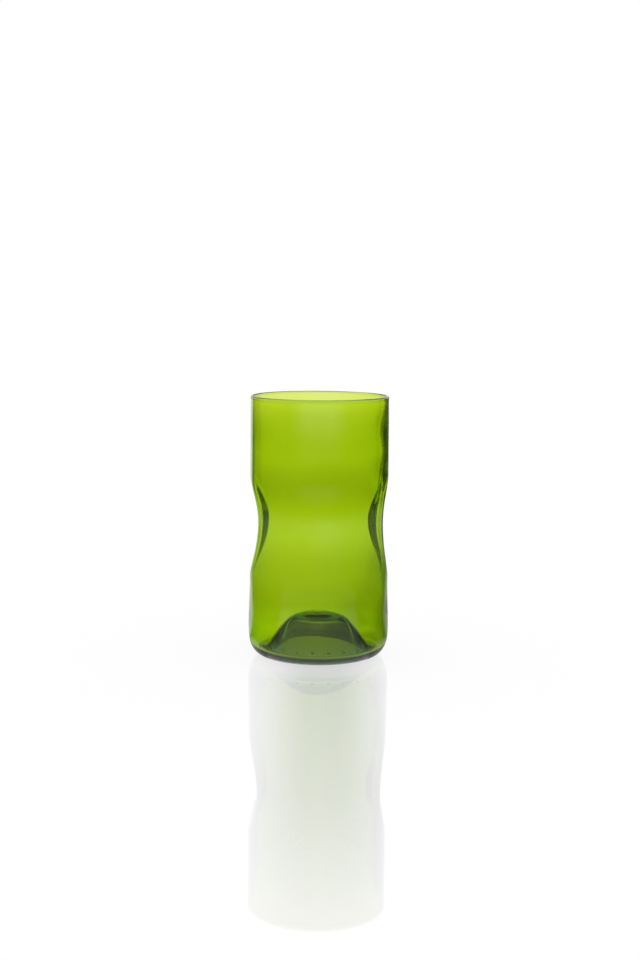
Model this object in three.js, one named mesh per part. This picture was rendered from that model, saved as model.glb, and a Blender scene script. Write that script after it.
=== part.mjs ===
// A tall tumbler made from the lower part of a wine bottle: one piece of green glass.
// The cut rim is melted round, the wall is squeezed inwards on the left and the right at
// mid height, and the base is pushed up into a dome inside a narrow ring that it stands on.
// Lengths are in millimetres. Z is up, the tumbler stands on z = 0 with its axis on Z, and
// the two dents face along -X (left) and +X (right).

import * as THREE from "three";
import { mergeVertices } from "three/addons/utils/BufferGeometryUtils.js";

// Overall size of the glass, whose wall thins a little towards the melted rim
const height = 141;
const bodyRadius = 37.5;
const wallThickness = 2.5;
const rimThickness = 1.5;
const rimTaperHeight = 35;

// Heel: the outer corner at the foot, which swells a little past the body above it
const heelSwell = 0.5;
const heelCurveWidth = 10.4;
const heelCurveHeight = 15;
const heelSquareness = 2.5;
const heelSwellHeight = 24;

// Inner corner between the wall and the trough round the dome
const innerHeelWidth = 4.5;
const innerHeelHeight = 8;
const troughGlass = 5;

// Rest ring, and the dome that is pushed up inside it with a hollow underneath
const restRingWidth = 2;
const hollowHeight = 19.4;
const hollowFullness = 4.4;
const hollowFlare = 2;
const domeGlass = 3.2;
const domeFullness = 3.4;
const domeFlare = 1.95;

// Small pip of glass at the middle of the floor
const pipRadius = 5;
const pipHeight = 0.3;

// The two squeezed dents, which share a height and a depth but differ in width
const dentCentreHeight = 74;
const dentDepth = 7.7;
const dentReachUp = 23.5;
const dentReachDown = 30.5;
const leftDentHalfWidth = 22.5;
const rightDentHalfWidth = 17.3;
const dentTaper = 0.75;
const dentSteepness = 1.5;

// Glass that the squeeze gathers inside the middle of each dent, over a share of its width
const gatheredGlass = 1.2;
const gatheredShare = 0.55;

// How far the squeeze pushes the front and the back of the wall outwards
const squeezeBulge = 0.4;

// How finely the curves are cut into flat faces
const facesAround = 64;
const domeSteps = 8;
const heelSteps = 7;
const rimSteps = 6;
const taperSteps = 4;
const dentRowSpacing = 4.5;

// Values that follow from the sizes above
const rimRadius = rimThickness / 2;
const boreRadius = bodyRadius - wallThickness;
const wallMiddleRadius = bodyRadius - wallThickness / 2;
const troughRadius = boreRadius - innerHeelWidth;
const heelRadius = bodyRadius + heelSwell;
const ringOuterRadius = heelRadius - heelCurveWidth;
const ringInnerRadius = ringOuterRadius - restRingWidth;
const rimStart = height - rimRadius;
const taperStart = rimStart - rimTaperHeight;
const innerHeelTop = troughGlass + innerHeelHeight;
const floorTop = hollowHeight + domeGlass;
const dentTop = dentCentreHeight + dentReachUp;
const dentBottom = dentCentreHeight - dentReachDown;

// Point of a quarter superellipse: 0 gives its lowest point and 1 its outermost one.
function cornerPoint(share, lowRadius, lowHeight, width, rise, squareness) {
  const angle = (share * Math.PI) / 2;
  const out = Math.sin(angle) ** (2 / squareness);
  const drop = Math.cos(angle) ** (2 / squareness);
  return new THREE.Vector2(lowRadius + width * out, lowHeight + rise * (1 - drop));
}

// Bell curve from 1 at the axis to 0 at the foot: a rounded top, steep flanks, a flared foot.
function bellShare(shareOfRadius, fullness, flare) {
  return (1 - Math.min(shareOfRadius, 1) ** fullness) ** flare;
}

// Underside of the dome, from the axis out to the rest ring.
function underside() {
  const points = [];
  for (let step = 0; step <= domeSteps; step += 1) {
    const share = step / domeSteps;
    const rise = hollowHeight * bellShare(share, hollowFullness, hollowFlare);
    points.push(new THREE.Vector2(ringInnerRadius * share, rise));
  }
  return points;
}

// Outer heel, from the rest ring up to the widest point of the glass.
function outerHeel() {
  const points = [];
  for (let step = 0; step <= heelSteps; step += 1) {
    const share = step / heelSteps;
    points.push(
      cornerPoint(share, ringOuterRadius, 0, heelCurveWidth, heelCurveHeight, heelSquareness),
    );
  }
  return points;
}

// Outer radius of the undented wall above the heel.
function outerRadiusAt(z) {
  const share = THREE.MathUtils.smoothstep(z, heelCurveHeight, heelCurveHeight + heelSwellHeight);
  return THREE.MathUtils.lerp(heelRadius, bodyRadius, share);
}

// Inner radius of the undented wall, which widens where the wall thins towards the rim.
function innerRadiusAt(z) {
  const share = THREE.MathUtils.smoothstep(z, taperStart, rimStart);
  return THREE.MathUtils.lerp(boreRadius, bodyRadius - rimThickness, share);
}

// Heights of the wall's rings between two ends: close together only where the dents are.
function wallHeights(from, to) {
  const dentRows = Math.ceil((dentTop - dentBottom) / dentRowSpacing);
  const heights = [heelCurveHeight + heelSwellHeight / 2, heelCurveHeight + heelSwellHeight];
  for (let row = 0; row <= dentRows; row += 1) {
    heights.push(dentBottom + ((dentTop - dentBottom) * row) / dentRows);
  }
  const leastStep = 1;
  return heights
    .filter((z) => z > from + leastStep && z < to - leastStep)
    .sort((a, b) => a - b)
    .filter((z, index, all) => index === 0 || z - all[index - 1] > leastStep);
}

// Heights of the bore's rings where the wall thins, from the start of the taper up.
function taperHeights() {
  const heights = [];
  for (let step = 0; step < taperSteps; step += 1) {
    heights.push(taperStart + (rimTaperHeight * step) / taperSteps);
  }
  return heights;
}

// Melted rim: a half circle from the outer wall over the top to the inner one.
function rim() {
  const points = [];
  for (let step = 0; step <= rimSteps; step += 1) {
    const angle = (Math.PI * step) / rimSteps;
    const radius = bodyRadius - rimRadius + rimRadius * Math.cos(angle);
    points.push(new THREE.Vector2(radius, rimStart + rimRadius * Math.sin(angle)));
  }
  return points;
}

// Inner heel, from the bore wall down to the bottom of the trough.
function innerHeel() {
  const points = [];
  for (let step = heelSteps; step > 0; step -= 1) {
    const share = step / heelSteps;
    points.push(cornerPoint(share, troughRadius, troughGlass, innerHeelWidth, innerHeelHeight, 2));
  }
  return points;
}

// Floor inside the glass, from the trough up over the dome and its pip to the axis.
function floor() {
  const points = [];
  const radii = [pipRadius / 2];
  for (let step = domeSteps; step > 0; step -= 1) {
    radii.push((troughRadius * step) / domeSteps);
  }
  radii.push(0);
  radii.sort((a, b) => b - a);
  for (const radius of radii) {
    const dome = (floorTop - troughGlass) * bellShare(radius / troughRadius, domeFullness, domeFlare);
    const pipShare = Math.max(1 - (radius / pipRadius) ** 2, 0);
    points.push(new THREE.Vector2(radius, troughGlass + dome + pipHeight * pipShare ** 2));
  }
  return points;
}

// The whole section, from the axis underneath round the outside and back to the axis inside.
function section() {
  const outerWall = wallHeights(heelCurveHeight, rimStart).map(
    (z) => new THREE.Vector2(outerRadiusAt(z), z),
  );
  const innerWall = [...wallHeights(innerHeelTop, taperStart), ...taperHeights()]
    .map((z) => new THREE.Vector2(innerRadiusAt(z), z))
    .reverse();
  return [
    ...underside(),
    ...outerHeel(),
    ...outerWall,
    ...rim(),
    ...innerWall,
    ...innerHeel(),
    ...floor(),
  ];
}

// Share of the squeeze at a height: 1 at the dents' middle, 0 at and past their two ends.
function squeezeAt(z) {
  const reach = z > dentCentreHeight ? dentReachUp : dentReachDown;
  const share = (z - dentCentreHeight) / reach;
  return { along: share ** 2, strength: Math.max(1 - share ** 2, 0) ** dentSteepness };
}

// How far one skin of the wall moves inwards at an angle from a dent's middle and at a height.
// The dent's outline is a lens that narrows towards its upper and lower ends. The inner skin
// moves further than the outer one at its middle, where the squeeze gathers the glass.
function dentDepthAt(angleFromDent, z, halfWidth, isInnerSkin) {
  const { along, strength } = squeezeAt(z);
  if (strength === 0) {
    return 0;
  }
  const halfWidthHere = halfWidth * (1 - dentTaper * along);
  const across = (bodyRadius * angleFromDent) / halfWidthHere;
  const dent = dentDepth * Math.max(1 - across ** 2, 0) ** 2;
  const gathered = gatheredGlass * Math.max(1 - (across / gatheredShare) ** 2, 0) ** 2;
  return strength * (isInnerSkin ? dent + gathered : dent);
}

// Moves every point of the wall in or out along its radius by the squeeze of its height.
function squeeze(geometry) {
  const position = geometry.getAttribute("position");
  for (let index = 0; index < position.count; index += 1) {
    const x = position.getX(index);
    const y = position.getY(index);
    const z = position.getZ(index);
    const radius = Math.hypot(x, y);
    if (radius < troughRadius) {
      continue;
    }
    const halfWidth = x < 0 ? leftDentHalfWidth : rightDentHalfWidth;
    const angleFromDent = Math.atan2(Math.abs(y), Math.abs(x));
    const bulge = squeezeBulge * squeezeAt(z).strength * Math.sin(angleFromDent) ** 2;
    const depth = dentDepthAt(angleFromDent, z, halfWidth, radius < wallMiddleRadius);
    const moved = (radius + bulge - depth) / radius;
    position.setXY(index, x * moved, y * moved);
  }
  return geometry;
}

// The glass itself: the section turned about the axis, stood upright, closed and squeezed.
function tumblerGeometry() {
  const turned = new THREE.LatheGeometry(section(), facesAround);
  turned.rotateX(Math.PI / 2);
  turned.deleteAttribute("normal");
  turned.deleteAttribute("uv");
  const leastGap = 0.001;
  const glass = squeeze(mergeVertices(turned, leastGap));
  glass.computeVertexNormals();
  return glass;
}

const greenGlass = new THREE.MeshStandardMaterial({
  color: 0x8fb404,
  roughness: 0.04,
  metalness: 0,
  transparent: true,
  opacity: 0.6,
});

const tumblerGlass = new THREE.Mesh(tumblerGeometry(), greenGlass);
tumblerGlass.name = "tumbler_glass";

const tumbler = new THREE.Group();
tumbler.add(tumblerGlass);

export default tumbler;
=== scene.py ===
# %% [markdown]
# # A tall tumbler of green bottle glass
# The tumbler is the lower part of a wine bottle. Its cut rim was melted round, and while the
# wall was soft it was squeezed inwards on the left and on the right. This file dresses the
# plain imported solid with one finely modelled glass, its material, a pale studio floor, plain
# light and a camera. All lengths here are metres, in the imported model's own frame.

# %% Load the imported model
from math import ceil, cos, exp, pi, radians, sin

import bpy
import numpy as np
from mathutils import Matrix, Vector


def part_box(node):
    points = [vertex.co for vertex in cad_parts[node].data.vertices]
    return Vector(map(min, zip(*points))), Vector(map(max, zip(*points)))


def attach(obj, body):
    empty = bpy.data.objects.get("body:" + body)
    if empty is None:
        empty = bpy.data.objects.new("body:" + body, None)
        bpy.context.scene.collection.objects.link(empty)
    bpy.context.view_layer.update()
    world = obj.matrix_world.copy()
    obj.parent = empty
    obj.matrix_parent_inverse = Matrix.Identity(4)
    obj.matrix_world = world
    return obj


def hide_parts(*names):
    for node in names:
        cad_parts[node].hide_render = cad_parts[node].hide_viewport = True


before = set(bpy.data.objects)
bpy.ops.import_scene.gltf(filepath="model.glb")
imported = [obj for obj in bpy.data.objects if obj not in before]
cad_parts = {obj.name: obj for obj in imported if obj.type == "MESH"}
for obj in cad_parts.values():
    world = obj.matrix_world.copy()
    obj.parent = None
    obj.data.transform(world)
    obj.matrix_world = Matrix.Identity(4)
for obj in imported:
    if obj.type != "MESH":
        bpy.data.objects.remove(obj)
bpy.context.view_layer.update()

MM = 0.001
glass_low, glass_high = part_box("tumbler_glass")
print("packed solid:", [round(v / MM, 2) for v in (*glass_low, *glass_high)], "mm")

# %% [markdown]
# ## Sizes
# A drinking glass is measured as a potter or a glass cutter would: a height, a body radius, a
# wall, and then the curves at the foot. The height and the widest radius are read from the
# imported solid, so the dressed glass can't drift away from it, and the outside has the solid's
# own sizes. Inside the glass a few sizes differ a little from the solid's, because they lie
# closer to the photograph: the wall at the rim and its taper, the glass under the trough and
# in the dome, the height of the dome, and the inner corner, which is a little squarer. With
# the waves of the bore, that moves the inner skin by 0.8 mm at most.

# %% Sizes of the glass
height = glass_high.z
heel_radius = glass_high.x
heel_swell = 0.5 * MM
body_radius = heel_radius - heel_swell
wall = 2.5 * MM

heel_curve_width = 10.4 * MM
heel_curve_height = 15 * MM
heel_squareness = 2.5
heel_swell_height = 24 * MM

inner_heel_width = 4.5 * MM
inner_heel_height = 8 * MM
inner_heel_squareness = 2.5
trough_glass = 4.5 * MM

rest_ring_width = 2 * MM
dome_height = 18.9 * MM
dome_glass = 3.1 * MM
dome_fullness = 3.4
dome_flare = 1.95
hollow_fullness = 4.4
hollow_flare = 2
pip_radius = 5 * MM
pip_height = 0.3 * MM

rim_wall = 1.8 * MM
rim_taper = 28 * MM
rim_radius = rim_wall / 2
bore_radius = body_radius - wall
trough_radius = bore_radius - inner_heel_width
ring_outer = heel_radius - heel_curve_width
ring_inner = ring_outer - rest_ring_width
rim_start = height - rim_radius
inner_heel_top = trough_glass + inner_heel_height
print("height", round(height / MM, 1), "body radius", round(body_radius / MM, 1), "mm")

# %% [markdown]
# ## The section
# Round glassware is drawn as a section and turned about its axis. The section runs from the
# middle of the underside, down the dome to the rest ring, round the heel, up the wall, over
# the melted rim, down the bore, which narrows a little as the wall gets its full thickness,
# round the inner corner, and up over the dome inside. It could be traced from a drawing, but
# a few formulas with named sizes are easier to change. They are the solid's formulas, only
# sampled more finely.

# %% Curves of the section
wall_step = 1.6 * MM
dome_steps, heel_steps, inner_heel_steps, rim_steps = 28, 30, 14, 14


def corner(share, low_radius, low_height, width, rise, squareness):
    """Radius and height on a quarter superellipse, from its lowest point (0) to its widest."""
    out = sin(share * pi / 2) ** (2 / squareness)
    drop = max(cos(share * pi / 2), 0) ** (2 / squareness)
    return low_radius + width * out, low_height + rise * (1 - drop)


def bell(share, low, high, fullness, flare):
    """Height of a bell at a share of its foot's radius, between the heights of foot and top."""
    return low + (high - low) * (1 - min(share, 1) ** fullness) ** flare


def eased(z, start, length):
    """Smooth rise from 0 at a starting height to 1 at the end of a length."""
    share = min(max((z - start) / length, 0), 1)
    return share * share * (3 - 2 * share)


def outer_radius(z):
    """Radius of the undented outside above the heel."""
    share = eased(z, heel_curve_height, heel_swell_height)
    return heel_radius + (body_radius - heel_radius) * share


def inner_radius(z):
    """Radius of the undented bore, which widens a little where the wall thins towards the rim."""
    return bore_radius + (wall - rim_wall) * eased(z, rim_start - rim_taper, rim_taper)


def wall_rows(low, high):
    """Even heights strictly between two ends of the wall."""
    count = ceil((high - low) / wall_step)
    return [low + (high - low) * row / count for row in range(1, count)]


def floor_height(radius):
    """Height of the floor inside the glass, with the pip of glass at its middle."""
    pip = pip_height * max(1 - (radius / pip_radius) ** 2, 0) ** 2
    top = dome_height + dome_glass
    return bell(radius / trough_radius, trough_glass, top, dome_fullness, dome_flare) + pip


# %% Points of the section
section = []
for step in range(dome_steps + 1):
    share = step / dome_steps
    underside = bell(share, 0, dome_height, hollow_fullness, hollow_flare)
    section.append((ring_inner * share, underside))
section += [
    corner(step / heel_steps, ring_outer, 0, heel_curve_width, heel_curve_height, heel_squareness)
    for step in range(heel_steps + 1)
]
section += [(outer_radius(z), z) for z in wall_rows(heel_curve_height, rim_start)]
for step in range(rim_steps + 1):
    angle = pi * step / rim_steps
    section.append(
        (body_radius - rim_radius + rim_radius * cos(angle), rim_start + rim_radius * sin(angle))
    )
section += [(inner_radius(z), z) for z in reversed(wall_rows(inner_heel_top, rim_start))]
section += [
    corner(
        step / inner_heel_steps,
        trough_radius,
        trough_glass,
        inner_heel_width,
        inner_heel_height,
        inner_heel_squareness,
    )
    for step in range(inner_heel_steps, 0, -1)
]
section += [
    (trough_radius * step / dome_steps, floor_height(trough_radius * step / dome_steps))
    for step in range(dome_steps, -1, -1)
]
print(len(section), "points in the section")

# %% [markdown]
# ## Turning the section
# By hand this is one vertex, here a small plane merged to its middle, extruded from point to
# point along the section, and then one turn of the Spin tool about the vertical axis. The
# first and the last copy of a full turn lie on each other, and so do the points on the axis,
# so doubles are merged, and the faces are then turned to point outwards. It is closed glass
# with an inner and an outer skin, so it needs no Solidify modifier, and light bends at both
# skins as it does in the real wall.

# %% Turn the section into the glass
turns = 320
merge_gap = 0.01 * MM

bpy.ops.object.select_all(action="DESELECT")
bpy.ops.mesh.primitive_plane_add(size=wall, location=(0, 0, 0))
glass = bpy.context.object
glass.name = "green_bottle_glass"
bpy.ops.object.mode_set(mode="EDIT")
bpy.ops.mesh.select_all(action="SELECT")
bpy.ops.mesh.merge(type="CENTER")
bpy.ops.mesh.select_all(action="SELECT")
here = Vector((0, 0, 0))
for index, (radius, z) in enumerate(section):
    there = Vector((radius, 0, z))
    if index == 0:
        bpy.ops.transform.translate(value=there - here)
    else:
        bpy.ops.mesh.extrude_region_move(TRANSFORM_OT_translate={"value": there - here})
    here = there
bpy.ops.mesh.select_all(action="SELECT")
bpy.ops.mesh.spin(steps=turns, angle=2 * pi, center=(0, 0, 0), axis=(0, 0, 1))
bpy.ops.mesh.select_all(action="SELECT")
bpy.ops.mesh.remove_doubles(threshold=merge_gap)
bpy.ops.mesh.normals_make_consistent(inside=False)
bpy.ops.object.mode_set(mode="OBJECT")
print("turned glass:", len(glass.data.vertices), "points,", len(glass.data.polygons), "faces")

# %% [markdown]
# ## The squeeze
# The maker pinches the hot bottle, so both skins of the wall move in together: 7.7 mm deep on
# either side, over a lens-shaped patch. The left patch is wider than the right one, as in the
# photograph. The pinch also gathers some glass, so at the middle of a dent the inner skin
# moves in a little further, and it pushes the front and the back of the wall out a little.
# Proportional editing could drag such a dent by hand, but a formula puts each point of the
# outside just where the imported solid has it, so the points are moved by formula.

# %% Sizes of the squeeze
dent_centre = 74 * MM
dent_depth = 7.7 * MM
dent_reach_up = 23.5 * MM
dent_reach_down = 30.5 * MM
left_half_width = 22.5 * MM
right_half_width = 17.3 * MM
dent_taper = 0.75
dent_steepness = 1.5
gathered_glass = 0.8 * MM
gathered_share = 0.55
squeeze_bulge = 0.4 * MM


def squeeze_strength(z):
    """The square of how far along its reach the squeeze is, and how strong it is there."""
    reach = np.where(z > dent_centre, dent_reach_up, dent_reach_down)
    along = ((z - dent_centre) / reach) ** 2
    return along, np.maximum(1 - along, 0) ** dent_steepness


def squeeze(x, y, z):
    """How far the squeeze moves the wall outwards, and the inner skin further inwards."""
    along, strength = squeeze_strength(z)
    half_width = np.where(x < 0, left_half_width, right_half_width)
    here_half = half_width * np.maximum(1 - dent_taper * along, 1 - dent_taper)
    angle = np.arctan2(np.abs(y), np.abs(x))
    across = body_radius * angle / here_half
    dent = dent_depth * strength * np.maximum(1 - across**2, 0) ** 2
    gathered = np.maximum(1 - (across / gathered_share) ** 2, 0) ** 2
    bulge = squeeze_bulge * strength * np.sin(angle) ** 2
    return bulge - dent, gathered_glass * strength * gathered


# %% [markdown]
# ## What makes it bottle glass
# A bottle is blown against a mould, so only its outside is true. The inside wanders: the bore
# sits a little to one side, and long soft waves run round and down it. That is what bends the
# light in slow streaks near the edges. The melted rim isn't quite level, and the mould leaves
# small raised dots on the heel. The photograph shows the dots along the front only, so they
# are made on an arc there. Each of these forms is half a millimetre or less. A sculpting brush
# could make them by hand, but sums of waves stay the same each time that the script runs.

# %% Unevenness of the bottle glass
# A wave of the bore is its count round the glass, its size, its start and its twist per metre.
# A wave of the rim is its count round the glass, its share of the dip and its start.
bore_offset_left = 0.17 * MM
bore_offset_back = 0.3 * MM
wave_sizes = ((2, 0.10 * MM, 0.7, 9.0), (3, 0.08 * MM, 2.1, 14.0), (5, 0.05 * MM, 4.0, 21.0))
streak_size = 0.15 * MM
streak_pitch = 26 * MM
streak_narrowness = 8
rim_dip = 0.3 * MM
rim_waves = ((1, 0.5, -0.6), (2, 0.3, 1.1), (3, 0.2, 0.0))
dot_count = 28
dot_turn = radians(-4.3)
dot_arc = radians(55)
dot_height_on_heel = 8.2 * MM
dot_radius = 0.8 * MM
dot_rise = 0.5 * MM
dot_pitch = 2 * pi / dot_count


def bore_waves(angle, z):
    """How far the inner skin stands off the true bore, outwards."""
    away = bore_offset_back * np.sin(angle) - bore_offset_left * np.cos(angle)
    for count, size, start, twist in wave_sizes:
        away += size * np.sin(count * angle + start + twist * z)
    streak = np.maximum(np.cos(angle), 0) ** streak_narrowness
    return away + streak_size * (streak * np.sin(2 * pi * z / streak_pitch))


def rim_level(angle):
    """How far the rim moves up. The waves are never more than 1, so the rim only dips."""
    wave = 0
    for count, size, start in rim_waves:
        wave = wave + size * np.cos(count * angle + start)
    return -rim_dip * 0.5 * (1 - wave)


def dot_bump(angle, z):
    """Rise of the mould dots, which stand on an arc along the front."""
    across = np.mod(angle - dot_turn + dot_pitch / 2, dot_pitch) - dot_pitch / 2
    from_middle = np.hypot(across * heel_radius, z - dot_height_on_heel) / dot_radius
    rise = dot_rise * np.maximum(1 - from_middle**2, 0) ** 2
    return np.where(np.abs(angle + pi / 2) < dot_arc, rise, 0)


print("the front arc holds about", round(dot_arc * 2 / dot_pitch), "mould dots")

# %% [markdown]
# ## Moving the points
# The turned glass has many thousands of points, so they are read into one array, moved all
# at once, and written back. What counts as the inner skin is the bore and a narrow band of
# the inner corner below it. The waves of the bore fade in above the inner corner, and the rim
# dips only along the top of the wall.

# %% Move the points of the turned glass
rim_fade = 12 * MM
wall_middle = body_radius - wall / 2
skin_margin = 0.05 * MM
inner_skin_band = 1 * MM

points = np.empty(len(glass.data.vertices) * 3)
glass.data.vertices.foreach_get("co", points)
points = points.reshape(-1, 3)
x, y, z = points.T.copy()
radius = np.hypot(x, y)
angle = np.arctan2(y, x)

inner_skin = (radius < wall_middle - skin_margin) & (radius > bore_radius - inner_skin_band)
on_wall = radius > trough_radius
on_heel = (radius > bore_radius) & (z < heel_curve_height)
above_corner = np.clip((z - inner_heel_top) / rim_fade, 0, 1)
below_rim = np.clip((height - z) / rim_fade, 0, 1)

squeezed, gathered = squeeze(x, y, z)
waves = bore_waves(angle, z) * above_corner
move = np.where(on_wall, squeezed, 0) - np.where(inner_skin, gathered, 0)
move += np.where(inner_skin & (z > inner_heel_top), waves, 0)
move += np.where(on_heel, dot_bump(angle, z), 0)
scale = np.where(radius > 0, (radius + move) / np.maximum(radius, merge_gap), 1)
points[:, 0] = x * scale
points[:, 1] = y * scale
points[:, 2] = z + np.where(on_wall, rim_level(angle) * (1 - below_rim), 0)
glass.data.vertices.foreach_set("co", points.ravel())
glass.data.update()

bpy.ops.object.select_all(action="DESELECT")
glass.select_set(True)
bpy.context.view_layer.objects.active = glass
bpy.ops.object.shade_smooth()
print("squeezed glass is", [round(v / MM, 2) for v in glass.dimensions], "mm")

# %% [markdown]
# ## Helpers for shader nodes
# By hand a material is built by adding nodes and dragging links between their sockets. A
# script makes the same few moves again and again, so each move is a short function here. It
# adds its nodes, links its inputs and gives back what comes out. The glass, the floor and the
# room all use them.

# %% Helpers for shader nodes
def node(tree, kind, settings=None, inputs=None):
    """A new node, with some of its settings and with values or links for its inputs."""
    made = tree.nodes.new("ShaderNode" + kind)
    for name, value in (settings or {}).items():
        setattr(made, name, value)
    for name, value in (inputs or {}).items():
        if isinstance(value, bpy.types.NodeSocket):
            tree.links.new(value, made.inputs[name])
        else:
            made.inputs[name].default_value = value
    return made


def maths(tree, operation, first, second=0.0, clamp=False):
    """The output of a Math node."""
    settings = {"operation": operation, "use_clamp": clamp}
    return node(tree, "Math", settings, {0: first, 1: second}).outputs[0]


def product(tree, *factors):
    """All the factors multiplied together."""
    result = factors[0]
    for factor in factors[1:]:
        result = maths(tree, "MULTIPLY", result, factor)
    return result


def soft_step(tree, value, start, end):
    """0 before the start, 1 after the end and a smooth rise between them."""
    settings = {"interpolation_type": "SMOOTHSTEP"}
    inputs = {"Value": value, "From Min": start, "From Max": end}
    return node(tree, "MapRange", settings, inputs).outputs["Result"]


def fall(tree, value, start, end):
    """1 before the start, 0 after the end and a smooth fall between them."""
    return maths(tree, "SUBTRACT", 1, soft_step(tree, value, start, end))


def between(tree, share, low, high):
    """The low value where the share is 0 and the high one where it is 1."""
    inputs = {"Value": share, "To Min": low, "To Max": high}
    return node(tree, "MapRange", None, inputs).outputs["Result"]


def curve(tree, value, stops):
    """A soft curve through (value, level) stops, as a colour ramp from 0 to 1."""
    made = node(tree, "ValToRGB", None, {"Fac": value})
    made.color_ramp.interpolation = "EASE"
    elements = made.color_ramp.elements
    while len(elements) < len(stops):
        elements.new(0.5)
    for element, (position, level) in zip(elements, stops):
        element.position = position
        element.color = (level, level, level, 1)
    return made.outputs["Color"]


def choose(tree, factor, first, second):
    """The first colour where the factor is 0 and the second where it is 1."""
    inputs = {"Factor": factor, 6: first, 7: second}
    return node(tree, "Mix", {"data_type": "RGBA"}, inputs).outputs[2]


def grey(level):
    """A neutral colour."""
    return level, level, level, 1


# %% [markdown]
# ## The glass
# Green bottle glass is clear, and its colour comes from depth: the longer the way through it,
# the darker and greener the light. A green surface colour would be even all over. So the
# surface is plain clear glass with the index of soda lime glass, and the colour is a Volume
# Absorption inside. Iron and chromium take the blue first, then the red, and let the green
# through.

# %% Material of the glass
soda_lime_ior = 1.52
depth_colour = (0.828, 0.911, 0.0, 1)
depth_density = 1000
white = grey(1)

green = bpy.data.materials.new("clear_green_glass")
green.use_nodes = True
tree = green.node_tree
shader = tree.nodes["Principled BSDF"]
shader.inputs["Base Color"].default_value = white
shader.inputs["Metallic"].default_value = 0
shader.inputs["Transmission Weight"].default_value = 1
shader.inputs["IOR"].default_value = soda_lime_ior

depth = node(tree, "VolumeAbsorption", None, {"Color": depth_colour, "Density": depth_density})
tree.links.new(depth.outputs["Volume"], tree.nodes["Material Output"].inputs["Volume"])
passed = [round(exp(-depth_density * (1 - level) * wall), 2) for level in depth_colour[:3]]
print("one wall lets through", passed, "of the red, green and blue light")

# %% [markdown]
# ## Haze and ripple
# The surface isn't perfect: fine haze from handling changes its roughness, and the mould's
# skin leaves a very faint ripple. Two noise textures on Object coordinates do for these, since
# both are far too shallow to model.

# %% Haze and ripple of the surface
haze_grain = {"Scale": 55, "Detail": 5}
haze_limits = {"From Min": 0.35, "From Max": 0.75, "To Min": 0.0, "To Max": 0.035}
ripple_grain = {"Scale": 70, "Detail": 1}
ripple_strength = 0.15
ripple_depth = 0.1 * MM

where = node(tree, "TexCoord").outputs["Object"]
haze = node(tree, "TexNoise", None, {"Vector": where, **haze_grain}).outputs["Fac"]
haze = node(tree, "MapRange", None, {"Value": haze, **haze_limits}).outputs["Result"]
ripple = node(tree, "TexNoise", None, {"Vector": where, **ripple_grain}).outputs["Fac"]
ripple_bump = {"Strength": ripple_strength, "Distance": ripple_depth, "Height": ripple}
rippled = node(tree, "Bump", None, ripple_bump).outputs["Normal"]
print("haze raises the roughness to", haze_limits["To Max"], "at most")

# %% [markdown]
# ## Crisp sides for the mould dots
# The mould dots are about two faces of the mesh wide, so the mesh has only their soft rise. A
# finer mesh would be too heavy for such small dots, so a bump in the same places adds their
# steep round sides, on the outside of the heel only. Raised glass is rubbed first in use, so
# the dots are also a little rougher. Their glass is also painted grey. This is painted shade
# for the dark specks that the dots show where they bend the view into the dark.

# %% Bump of the mould dots
outside_radius = 36 * MM
dot_side = (0.2, 0.7)
rubbed_roughness = 0.35
# Grey of the painted shade on the mould dots.
dot_painted_shade_colour = (0.3, 0.3, 0.28, 1)
without_height = (1, 1, 0)

spot = node(tree, "SeparateXYZ", None, {"Vector": where}).outputs
bearing = maths(tree, "ARCTAN2", spot["Y"], spot["X"])
bearing = maths(tree, "ADD", bearing, dot_pitch / 2 - dot_turn)
bearing = maths(tree, "FLOORED_MODULO", bearing, dot_pitch)
bearing = maths(tree, "SUBTRACT", bearing, dot_pitch / 2)
beside = maths(tree, "MULTIPLY", bearing, heel_radius / dot_radius)
above = maths(tree, "SUBTRACT", spot["Z"], dot_height_on_heel)
above = maths(tree, "DIVIDE", above, dot_radius)
from_middle = maths(tree, "ADD", product(tree, beside, beside), product(tree, above, above))
dot_shape = maths(tree, "SQRT", maths(tree, "SUBTRACT", 1, from_middle, clamp=True))

flat = node(tree, "VectorMath", {"operation": "MULTIPLY"}, {0: where, 1: without_height})
flat = node(tree, "VectorMath", {"operation": "LENGTH"}, {0: flat.outputs["Vector"]})
on_outside = maths(tree, "GREATER_THAN", flat.outputs["Value"], outside_radius)
in_arc = maths(tree, "LESS_THAN", spot["Y"], -outside_radius * cos(dot_arc))
dot_shape = product(tree, dot_shape, product(tree, on_outside, in_arc))

dot_sides = {"Strength": 1, "Distance": dot_rise, "Height": dot_shape, "Normal": rippled}
dotted = node(tree, "Bump", None, dot_sides).outputs["Normal"]
# One mask for the rougher rubbed dots and for their painted shade.
rubbed_and_painted_shade = soft_step(tree, dot_shape, *dot_side)
roughness = maths(tree, "MAXIMUM", haze, product(tree, rubbed_and_painted_shade, rubbed_roughness))
tree.links.new(dotted, shader.inputs["Normal"])
tree.links.new(roughness, shader.inputs["Roughness"])
# Painted shade: the dots' glass is tinted grey, which dims the light through them.
tree.links.new(choose(tree, rubbed_and_painted_shade, white, dot_painted_shade_colour), shader.inputs["Base Color"])
print(len(tree.nodes), "nodes in the material of the glass")

# %% [markdown]
# ## In place of the imported solid
# The imported part is one node on one body, called root. The dressed glass rides on that body,
# stands in for that node and is made of the green glass. The node itself is hidden, not
# removed.

# %% Put the glass in place of the imported solid
glass.data.materials.append(green)
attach(glass, "root")
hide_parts("tumbler_glass")
print(glass.name, "is made of", green.name)

# %% [markdown]
# ## The floor
# The photograph stands the glass on glossy white acrylic. One large plane will do for it.

# %% Floor
floor_gap = 0.05 * MM
stage_size = 12

bpy.ops.object.select_all(action="DESELECT")
bpy.ops.mesh.primitive_plane_add(size=stage_size, location=(0, 0, -floor_gap))
floor = bpy.context.object
floor.name = "white_floor"
bpy.ops.object.transform_apply(location=True)
print("the floor is", stage_size, "m wide")
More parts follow.
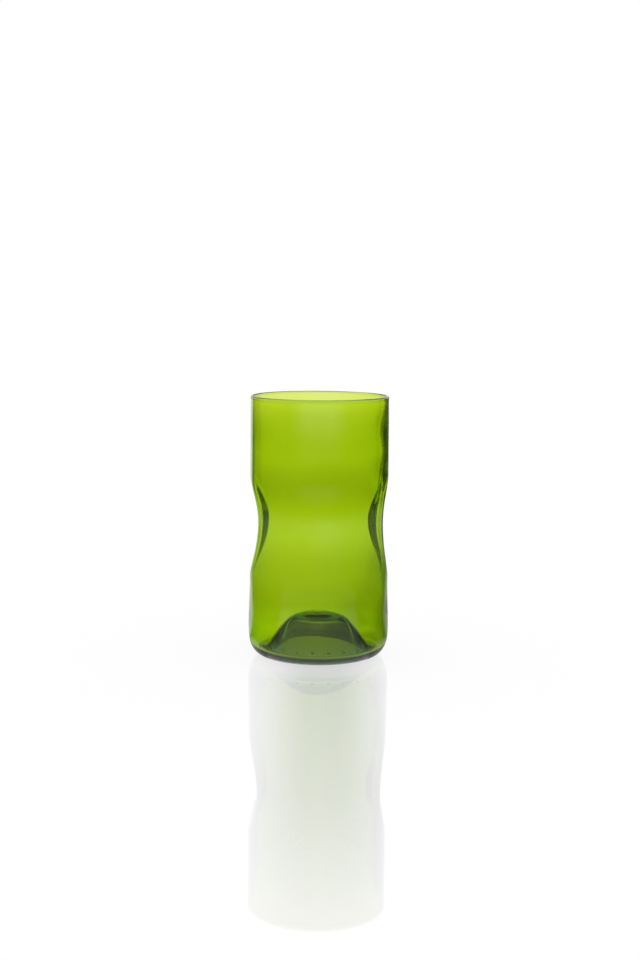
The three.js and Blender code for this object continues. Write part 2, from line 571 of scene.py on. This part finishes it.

# %% [markdown]
# ## Where a ray meets the floor
# Clear glass has hardly any look of its own: it shows what stands round it. A studio floor
# looks evenly white, but light falls on it in pools, and dark flags beside it cast shade, and
# the glass shows them as slow bands. Lamps and boards could be set up for that, but they would
# light the floor for the camera too. So the floor's material paints them: painted light for the
# pools and painted shade for the flags. Light Path says which kind of ray meets the floor, and
# its place there, as a distance and a direction from the glass, sets a level. The camera
# itself sees plain white on every side.

# %% Place on the floor
ramp_reach = 2

acrylic = bpy.data.materials.new("white_acrylic")
acrylic.use_nodes = True
tree = acrylic.node_tree
tree.nodes.remove(tree.nodes["Principled BSDF"])
path = node(tree, "LightPath").outputs
place = node(tree, "TexCoord").outputs["Object"]
across = node(tree, "SeparateXYZ", None, {"Vector": place}).outputs
distance = node(tree, "VectorMath", {"operation": "LENGTH"}, {0: place}).outputs["Value"]
reach = maths(tree, "DIVIDE", distance, ramp_reach, clamp=True)
sideways = maths(tree, "DIVIDE", across["X"], distance)
backwards = maths(tree, "DIVIDE", across["Y"], distance)
print("the colour ramps run from the glass to", ramp_reach, "m away")

# %% [markdown]
# ## The floor behind the glass
# Through the wall of the glass the camera sees the floor behind it: dim under the foot, where
# the glass keeps the light off, white just behind that, and then in slow paler and darker
# bands. One soft curve over the distance holds all of them.

# %% What shows through the glass
seen_through_glass = (
    (0, 0.31), (0.0155, 0.31), (0.02, 1), (0.038, 0.98), (0.06, 0.77), (0.075, 0.76),
    (0.12, 0.82), (0.21, 1), (0.355, 0.7), (0.5, 0.9), (0.7, 1),
)

through = curve(tree, reach, seen_through_glass)
print("the bands end", seen_through_glass[-1][0] * ramp_reach, "m from the glass")

# %% [markdown]
# ## The floor in front of the glass
# The outside of the glass mirrors the floor in front of it. Close by, the floor is white. Two
# pools of light lie further out, and they are the soft highlights on the wall, the lower one
# from the near pool and the upper one from the far pool. Each is as wide as its window.

# %% What the glass mirrors in front
seen_in_front = (
    (0, 1), (0.0235, 0.97), (0.0285, 0.85), (0.035, 0.7), (0.08, 0.62), (0.105, 0.58),
    (0.125, 0.12), (0.14, 0),
)
front_sector = (-0.62, -0.42)
near_pool = (
    (0.105, 0.05), (0.145, 0.22), (0.18, 0.5), (0.215, 0.85), (0.25, 1), (0.285, 0.85),
    (0.32, 0.4), (0.36, 0.08), (0.4, 0),
)
near_left, near_right = (-0.75, 0.6), (0.1, 0.95)
near_side_level = 0.35
far_pool = ((0.45, 0), (0.6, 0.2), (0.78, 0.7), (0.95, 1))
far_left, far_right = (-0.8, -0.3), (0.3, 0.8)

in_front = fall(tree, backwards, *front_sector)
front = product(tree, curve(tree, reach, seen_in_front), in_front)
near_window = product(
    tree, soft_step(tree, sideways, *near_left), fall(tree, sideways, *near_right)
)
near_window = between(tree, near_window, near_side_level, 1)
near = product(tree, curve(tree, reach, near_pool), near_window)
far_window = product(
    tree, soft_step(tree, sideways, *far_left), fall(tree, sideways, *far_right)
)
far = product(tree, curve(tree, reach, far_pool), far_window)
brightest = max(near_pool, key=lambda stop: stop[1])
print("the near pool is brightest", brightest[0] * ramp_reach, "m from the glass")

# %% [markdown]
# ## The floor beside and behind, in the mirror of the glass
# At its edges the glass mirrors the floor behind it, which is white, and half as bright on the
# right. Round the foot the floor is half white in every direction. Without that the corners
# of the heel would turn black. The brightest of all these levels is the one that is shown.

# %% What the glass mirrors behind and at its foot
back_floor = (0.4, 0.65)
back_floor_shift = 0.27
back_shift_reach = (0.06, 0.13)
back_right = (0, 0.2)
back_right_level = 0.5
foot_reach = (0.022, 0.036)
foot_level = 0.5

shift = product(tree, soft_step(tree, reach, *back_shift_reach), back_floor_shift)
back = soft_step(tree, maths(tree, "SUBTRACT", backwards, shift), *back_floor)
back_side = between(tree, soft_step(tree, sideways, *back_right), 1, back_right_level)
back = product(tree, back, back_side)
foot = product(tree, fall(tree, reach, *foot_reach), foot_level)
reflected = back
for pool in (foot, front, near, far):
    reflected = maths(tree, "MAXIMUM", reflected, pool)
print(len(tree.nodes), "nodes in the material of the floor so far")

# %% [markdown]
# ## Painted shade for flags
# No flags stand here. A photographer sets dark flags behind the glass on either side to draw
# dark edges on clear glass, so the floor there is painted darker in their place. This painted
# shade applies to the rays that the glass mirrors and to those that pass through it.

# %% Painted shade of flags behind the glass
painted_shade_back = (0.3, 0.4)
right_painted_shade_band, left_painted_shade_band = (0.29, 0.33), (-0.57, -0.54)
right_painted_shade_level, left_painted_shade_level = 0.15, 0.35
painted_shade_side_end = (0.7, 0.76)
painted_shade_reach = (0.12, 0.36)

right_painted_shade = product(tree, soft_step(tree, sideways, *right_painted_shade_band), 1 - right_painted_shade_level)
left_painted_shade = product(tree, fall(tree, sideways, *left_painted_shade_band), 1 - left_painted_shade_level)
# Painted shade: the floor is darkened to the right and left behind the glass, where flags would
# stand.
painted_flag_shades = product(
    tree,
    maths(tree, "ADD", right_painted_shade, left_painted_shade),
    soft_step(tree, backwards, *painted_shade_back),
    fall(tree, maths(tree, "ABSOLUTE", sideways), *painted_shade_side_end),
    soft_step(tree, reach, *painted_shade_reach),
)
# The painted shade dims the floor in the mirror of the glass and through it.
outside_painted_shade = maths(tree, "SUBTRACT", 1, painted_flag_shades)
reflected = product(tree, reflected, outside_painted_shade)
through = product(tree, through, outside_painted_shade)
print("the flags start", round(painted_shade_reach[0] * ramp_reach, 2), "m from the glass")

# %% [markdown]
# ## The darker right side
# In the photograph the wall is darker towards the right. Less light from that side would do
# it, but it would also darken the floor. So here the floor is dimmed towards the right, in
# two steps, only for the rays that pass through the glass.

# %% Darker right side
right_fall_start, right_fall_end = (0.015, 0.025), (0.15, 0.26)
right_falls = (((0.08, 0.26), 0.78), ((0.4, 0.6), 0.7))

nearby = product(
    tree, soft_step(tree, reach, *right_fall_start), fall(tree, reach, *right_fall_end)
)
for limits, level in right_falls:
    dimmed = product(tree, soft_step(tree, sideways, *limits), nearby)
    through = product(tree, through, between(tree, dimmed, 1, level))
print("the floor keeps", [level for limits, level in right_falls], "of its light, step by step")

# %% [markdown]
# ## The floor through the dome
# A ray that passes the front and the back of the wall crosses four skins of glass, and one
# that passes the dome as well crosses more. Clean clear glass makes the dome much lighter
# than it is in the photograph. So the floor is dimmed for rays that have crossed more than
# five skins. That is a stage trick and not how glass works, and it is kept here, in the
# floor, so that the glass itself stays plain glass.

# %% Floor through the dome
most_skins_of_the_wall = 5
dome_level = 0.08

skins = maths(tree, "GREATER_THAN", path["Transmission Depth"], most_skins_of_the_wall)
through = product(tree, through, between(tree, skins, 1, dome_level))
print("past", most_skins_of_the_wall, "skins the floor keeps", dome_level, "of its light")

# %% [markdown]
# ## White acrylic
# The floor shines white by itself for the most part, like a light table, and takes a soft
# shadow with the rest. Both kinds of ray get their own level, and the camera gets white.

# %% White acrylic
glow_share = 0.88

shown = choose(tree, path["Is Glossy Ray"], white, reflected)
shown = choose(tree, path["Is Transmission Ray"], shown, through)
matt = node(tree, "BsdfDiffuse", None, {"Color": shown}).outputs[0]
glow = node(tree, "Emission", None, {"Color": shown}).outputs[0]
acrylic_base = node(tree, "MixShader", None, {"Fac": glow_share, 1: matt, 2: glow}).outputs[0]
print("the floor shines by itself for", glow_share, "of its white")

# %% [markdown]
# ## The mirror of the floor
# Both faces of a clear sheet reflect, so its mirror is stronger than one face's Fresnel value.
# As in the photograph, the mirror image fades with the distance from the glass, to its sides
# and close to its foot. These fades are given, and so is the index of the sheet, which is
# a little above the 1.49 of acrylic. The mirror is left out for rays that the glass has
# reflected already.

# %% Mirror of the floor
sheet_ior = 1.6
mirror_roughness = 0.02
mirror_fade = (0.22, 0.56)
mirror_middle = 3 * MM
mirror_side = (4 * MM, 38 * MM)
mirror_side_level = 0.3
mirror_foot = (36 * MM, 75 * MM)
mirror_foot_level = 0.68

face = node(tree, "Fresnel", None, {"IOR": sheet_ior}).outputs[0]
faces = maths(tree, "DIVIDE", product(tree, face, 2), maths(tree, "ADD", face, 1))
off_middle = maths(tree, "ABSOLUTE", maths(tree, "SUBTRACT", across["X"], mirror_middle))
dull = product(tree, soft_step(tree, off_middle, *mirror_side), 1 - mirror_side_level)
polish = product(
    tree,
    fall(tree, distance, *mirror_fade),
    maths(tree, "SUBTRACT", 1, dull),
    between(tree, soft_step(tree, distance, *mirror_foot), mirror_foot_level, 1),
)
first_time = maths(tree, "SUBTRACT", 1, path["Is Glossy Ray"])
mirrored = product(tree, product(tree, faces, polish), first_time)
mirror = node(tree, "BsdfAnisotropic", None, {"Color": white, "Roughness": mirror_roughness})
layers = {"Fac": mirrored, 1: acrylic_base, 2: mirror.outputs[0]}
top = node(tree, "MixShader", None, layers).outputs[0]
tree.links.new(top, tree.nodes["Material Output"].inputs["Surface"])
floor.data.materials.append(acrylic)
print(len(tree.nodes), "nodes in the material of the floor")

# %% [markdown]
# ## The room
# The camera sees white everywhere, and white light falls on the floor from all round. The
# glass mirrors a white room with a slightly dimmer ceiling. Light that has gone through the
# glass comes from a darker room: white up to a little above the horizon, and dark above that,
# with a grey banner in front of the glass and one behind it. That is what draws the dark lines
# in clear glass: its edges, rim, heel and dome bend the dark ceiling into view. Paper and
# lamps could stand there instead, but a world made of directions is simpler.

# %% What the room shows through the glass
paper_top = (sin(radians(4)), sin(radians(9)))
banner_top = (sin(radians(21)), sin(radians(25)))
banner_side = (sin(radians(7)), sin(radians(13)))
banner_level = 0.5
dark_level = 0.03
high_ceiling = (sin(radians(36)), sin(radians(45)))
high_level = 0.3

world = bpy.data.worlds.new("white_studio")
bpy.context.scene.world = world
world.use_nodes = True
tree = world.node_tree
sky = tree.nodes["Background"]
path = node(tree, "LightPath").outputs
sight = node(tree, "TexCoord").outputs["Generated"]
direction = node(tree, "SeparateXYZ", None, {"Vector": sight}).outputs
to_the_side = maths(tree, "ABSOLUTE", direction["X"])

dark, banner = grey(dark_level), grey(banner_level)
over_banner = soft_step(tree, direction["Z"], *banner_top)
beside_banner = soft_step(tree, to_the_side, *banner_side)
upper = choose(tree, over_banner, banner, dark)
upper = choose(tree, beside_banner, upper, dark)
upper = choose(tree, soft_step(tree, direction["Z"], *high_ceiling), upper, grey(high_level))
room_through = choose(tree, soft_step(tree, direction["Z"], *paper_top), white, upper)
print(len(tree.nodes), "nodes in the room so far")

# %% What the room shows to a mirror and to the camera
lit_ceiling_start = (0.5, 0.8)
lit_ceiling = 0.7

overhead = soft_step(tree, direction["Z"], *lit_ceiling_start)
room_reflected = choose(tree, overhead, white, grey(lit_ceiling))
room = choose(tree, path["Is Glossy Ray"], white, room_reflected)
room = choose(tree, path["Is Transmission Ray"], room, room_through)
tree.links.new(room, sky.inputs["Color"])
sky.inputs["Strength"].default_value = 1
print(len(tree.nodes), "nodes in the room")

# %% [markdown]
# ## The camera
# The photograph was taken from about 0.88 m away and 0.2 m above the table, with the camera
# pitched 3.8 degrees down and rolled by less than half a degree. The frame's middle lies below
# the lens axis, which is the small vertical shift. A camera could be set by eye, but one that
# is fitted to the rim, the base and the outline matches all three at once.

# %% Camera
image_height_px = 960
focal_px = 1582.2
lens_axis_row_px = 391.6
camera_distance = 853.2 * MM
camera_height = 199.1 * MM
camera_pitch = radians(3.77)
camera_roll = radians(0.45)
sensor_mm = 36

camera_data = bpy.data.cameras.new("camera")
camera = bpy.data.objects.new("camera", camera_data)
bpy.context.scene.collection.objects.link(camera)
camera_data.sensor_width = sensor_mm
camera_data.lens = focal_px / image_height_px * sensor_mm
camera_data.shift_y = (lens_axis_row_px - image_height_px / 2) / image_height_px
turn = Matrix.Rotation(pi / 2 - camera_pitch, 4, "X") @ Matrix.Rotation(camera_roll, 4, "Z")
camera.matrix_world = Matrix.Translation((0, -camera_distance, camera_height)) @ turn
bpy.context.scene.camera = camera
bpy.context.scene.view_settings.view_transform = "Standard"
print("lens", round(camera_data.lens, 1), "mm, shift", round(camera_data.shift_y, 3))
